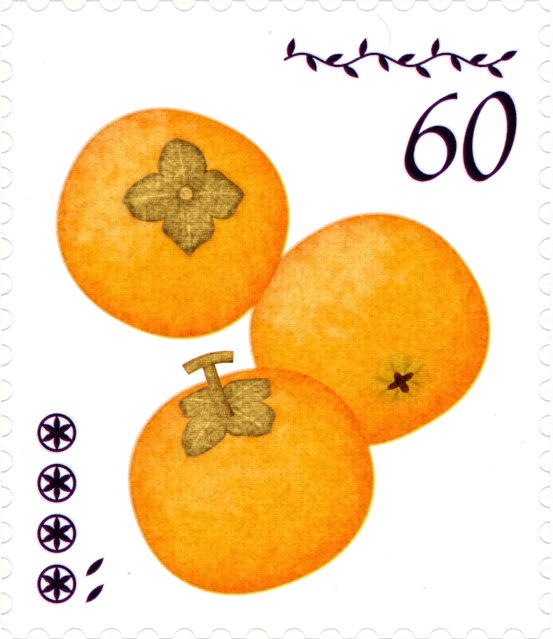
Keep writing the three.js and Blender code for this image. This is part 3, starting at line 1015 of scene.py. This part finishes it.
# %% Line ink finishes
def line_finish(name, darker, lighter):
    ink = Finish(name, Specular_IOR_Level=0.01)
    take = ink.noise(ink.spot, 9.0, 3.0, 0.7)
    pinholes = ink.ramp(ink.noise(ink.spot, 5.0, 0.0), 0.6, 0.8)
    tone = ink.mix(ink.held(take * 0.5 + 0.25 + pinholes * 0.5), darker, lighter)
    return ink.coat(tone, ink.held(0.42 + take * 0.1))


PURPLE = line_finish("purple_ink", (0.05, 0.0004, 0.07), (0.1, 0.002, 0.13))
MAROON = line_finish("maroon_plate", (0.07, 0.0004, 0.018), (0.12, 0.002, 0.05))
NAVY = line_finish("navy_plate", (0.0012, 0.0005, 0.024), (0.005, 0.0015, 0.05))
OVERPRINTED = line_finish("overprinted_ink", (0.0015, 0.0001, 0.0025), (0.008, 0.0004, 0.011))
PALE_PINK = line_finish("magenta_fringe", (0.96, 0.6, 0.78), (0.96, 0.78, 0.88))
PALE_BLUE = line_finish("blue_fringe", (0.64, 0.7, 0.96), (0.8, 0.85, 0.96))
PALE_YELLOW = line_finish("yellow_plate", (1.0, 0.86, 0.42), (1.0, 0.92, 0.62))
PALE_MAGENTA = line_finish("magenta_plate", (0.94, 0.5, 0.36), (1.0, 0.72, 0.6))

# %% [markdown]
# ## Print the picture
#
# The yellow and the magenta plate of the picture lie a little off the others, and show as a thin pale line
# beyond its outline: yellow below and to the right, pink above and to the left. They are films of their own,
# thinner than the motifs that cover them.

# %% The picture's films
PICTURE_FINISHES = {
    "right_fruit": ("orange_ink", skin_finish("right", 3.0)),
    "right_tip": ("brown_ink", tip_finish("right")),
    "left_fruit": ("orange_ink", skin_finish("left", 17.0)),
    "left_calyx": ("olive_ink", calyx_finish("left")),
    "left_stem": ("brown_ink", stem_end_finish("left")),
    "front_fruit": ("orange_ink", skin_finish("front", 29.0)),
    "front_calyx": ("olive_ink", calyx_finish("front")),
    "front_twig": ("brown_ink", twig_finish("front")),
}
for motif, (slot, finish) in PICTURE_FINISHES.items():
    printed = print_film("printed_" + motif, [motif + "_ink"], slot, finish, PICTURE_EDGE)
    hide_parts(motif + "_ink")

PICTURE_NODES = [motif + "_ink" for motif in PICTURE_FINISHES]
UNDER_PLATES = {  # finish, shift to the right and up, thickness
    "yellow_plate_edge": (PALE_YELLOW, (0.045, -0.045), 0.001),
    "magenta_plate_edge": (PALE_MAGENTA, (-0.03, 0.025), 0.002),
}
for name, (finish, shift, thickness) in UNDER_PLATES.items():
    print_film(name, PICTURE_NODES, "orange_ink", finish, PICTURE_EDGE, shift=shift, thickness=thickness)

# %% [markdown]
# ## Print the value and the ornaments
#
# Each numeral and each ornament has its purple film, and over that lie the maroon side, the navy side and the
# middle where both plates meet. Under all of them a last pale fringe shows on each side.

# %% The line work
PLATE_SHIFT = 0.076  # mm by which each line plate lies off the middle, both ways
FRINGE_SHIFT = 0.062
PURPLE_THICKNESS = 0.002
LINE_NODES = [name for name in sorted(nodes) if name.endswith("_ink") and name not in PICTURE_NODES]
for node in LINE_NODES:
    name = "printed_" + node.removesuffix("_ink")
    printed = print_film(name, [node], "purple_ink", PURPLE, LINE_EDGE, thickness=PURPLE_THICKNESS)
    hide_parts(node)

LINE_PLATES = {  # way to print, finish, shift, thickness
    "magenta_line_fringe": (WHOLE, PALE_PINK, -FRINGE_SHIFT, 0.001),
    "blue_line_fringe": (WHOLE, PALE_BLUE, FRINGE_SHIFT, 0.0015),
    "maroon_line_plate": (SIDE, MAROON, PLATE_SHIFT, 0.003),
    "navy_line_plate": (SIDE, NAVY, -PLATE_SHIFT, 0.004),
    "overprinted_lines": (MIDDLE, OVERPRINTED, PLATE_SHIFT, INK_HIGH - INK_LOW),
}
for name, (plan, finish, shift, thickness) in LINE_PLATES.items():
    print_film(name, LINE_NODES, "purple_ink", finish, LINE_EDGE, plan, (shift, shift), thickness)

# %% [markdown]
# ## Light and floor
#
# The stamp lies on a plain pale floor. Two soft boxes stand beyond its top and its bottom. They light the
# paper evenly, and the sheet's thickness throws a thin soft shadow into each hole, darker on the side away
# from the stronger lamp. A white sky fills in the rest.

# %% Light and floor
SKY = 0.03
LAMPS = {"lower lamp": (-1, 0.56), "upper lamp": (1, 0.53)}  # which side, and how much of the light it gives
LAMP_DISTANCE, LAMP_TILT = 250.0, math.radians(36)
LAMP_LENGTH, LAMP_WIDTH = 70.0, 40.0
FLOOR_GAP = 0.004  # mm between the floor and the gum, so that the two don't flicker
FLOOR_REACH = 400.0  # mm from the stamp to its sides


def hang_lamp(name, side, share):
    lamp = bpy.data.lights.new(name, "AREA")
    lamp.shape = "RECTANGLE"
    lamp.size, lamp.size_y = LAMP_LENGTH * MM, LAMP_WIDTH * MM
    spread = math.atan(LAMP_LENGTH / 2 / LAMP_DISTANCE)
    reach = 2 * math.tan(spread) / (spread + math.sin(2 * spread) / 2)  # what a long lamp's ends lose
    lamp.energy = share * reach * (math.pi * LAMP_DISTANCE * MM) ** 2 / math.cos(LAMP_TILT)
    holder = bpy.data.objects.new(name, lamp)
    holder.location = Vector((0, side * math.sin(LAMP_TILT), math.cos(LAMP_TILT))) * LAMP_DISTANCE * MM
    holder.rotation_euler = (-side * LAMP_TILT, 0, 0)
    bpy.context.scene.collection.objects.link(holder)


def lay_floor():
    mesh = bpy.data.meshes.new("floor")
    corners = [(-1, -1), (1, -1), (1, 1), (-1, 1)]
    places = [Vector((x * FLOOR_REACH, y * FLOOR_REACH, -FLOOR_GAP)) * MM for x, y in corners]
    mesh.from_pydata(places, [], [(0, 1, 2, 3)])
    floor = bpy.data.objects.new("floor", mesh)
    bpy.context.scene.collection.objects.link(floor)
    card = Finish("pale_floor", Roughness=0.9, Specular_IOR_Level=0.1)
    cloud = card.noise(card.spot, 0.05, 2.0)
    card.coat(card.mix(card.held(cloud + 0.5), (0.87, 0.87, 0.85), (0.88, 0.88, 0.86)))
    mesh.materials.append(card.material)


for name, (side, share) in LAMPS.items():
    hang_lamp(name, side, share)
lay_floor()
sky = bpy.data.worlds.new("white sky")
sky.use_nodes = True
background = sky.node_tree.nodes["Background"].inputs
background["Strength"].default_value = SKY
background["Color"].default_value = (1, 1, 1, 1)
bpy.context.scene.world = sky
bpy.context.scene.view_settings.view_transform = "Standard"
bpy.context.scene.view_settings.look = "None"
print("light on the paper:", SKY + sum(share for _, share in LAMPS.values()))
